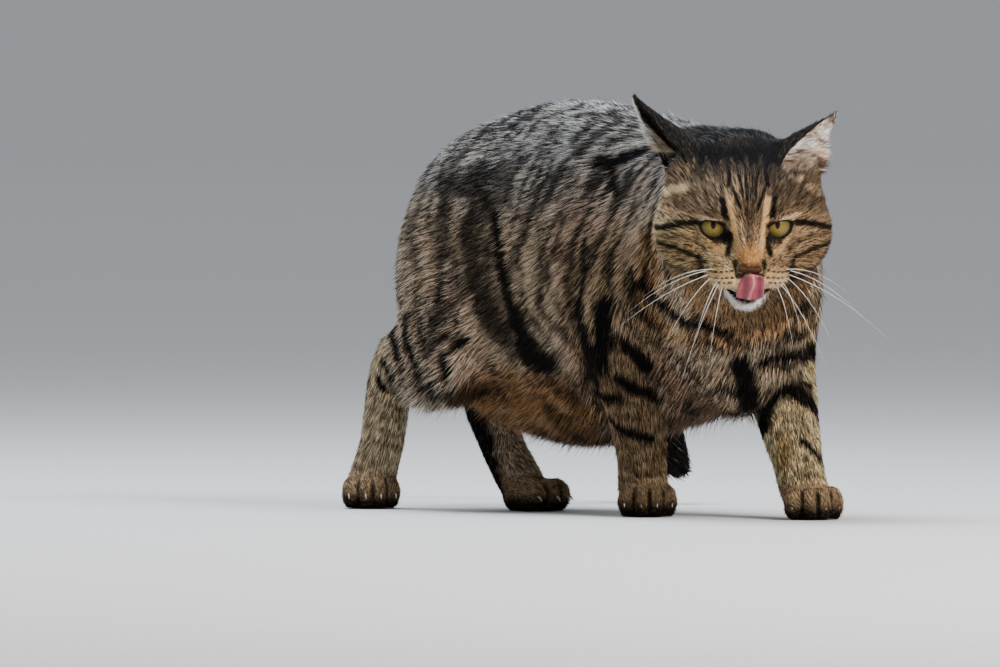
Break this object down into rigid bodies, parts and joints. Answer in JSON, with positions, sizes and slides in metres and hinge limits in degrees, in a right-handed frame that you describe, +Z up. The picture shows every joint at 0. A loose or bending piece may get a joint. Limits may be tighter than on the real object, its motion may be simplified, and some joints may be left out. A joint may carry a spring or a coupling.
{
  "type": "cat",
  "caption": "Short-haired brown tabby tomcat in mid-walk, head low and turned to its right, tongue on its nose, tail swung round its left side; a still life-size model",
  "frame": {"origin": "on the floor, under the middle of the bounding box", "axes": "+Z up, the cat walks towards -Y, +X is its left side"},
  "size_m": [0.266, 0.4544, 0.2629],
  "materials": {
    "coat": "short dense fur, grey-brown with black tabby stripes",
    "eye": "wet and glossy, yellow-green iris with a slim pupil",
    "nose_leather": "bare, finely pebbled, dull",
    "tongue": "wet, pink, finely rough",
    "horn": "smooth pale horn"
  },
  "bodies": {
    "root": {"belly": "coat", "chest": "coat", "claw_fore_left_1": "horn", "claw_fore_left_2": "horn", "claw_fore_left_3": "horn", "claw_fore_left_4": "horn", "claw_fore_right_1": "horn", "claw_fore_right_2": "horn", "claw_fore_right_3": "horn", "claw_fore_right_4": "horn", "claw_hind_left_1": "horn", "claw_hind_left_2": "horn", "claw_hind_left_3": "horn", "claw_hind_left_4": "horn", "claw_hind_right_1": "horn", "claw_hind_right_2": "horn", "claw_hind_right_3": "horn", "claw_hind_right_4": "horn", "ear_left": "coat", "ear_right": "coat", "eye_left": "eye", "eye_right": "eye", "head": "coat", "lower_leg_fore_left": "coat", "lower_leg_fore_right": "coat", "lower_leg_hind_left": "coat", "lower_leg_hind_right": "coat", "neck": "coat", "nose": "nose_leather", "paw_fore_left": "coat", "paw_fore_right": "coat", "paw_hind_left": "coat", "paw_hind_right": "coat", "rump": "coat", "tail_base": "coat", "tail_middle": "coat", "tail_tip": "coat", "tongue": "tongue", "upper_leg_fore_left": "coat", "upper_leg_fore_right": "coat", "upper_leg_hind_left": "coat", "upper_leg_hind_right": "coat"}
  },
  "joints": []
}
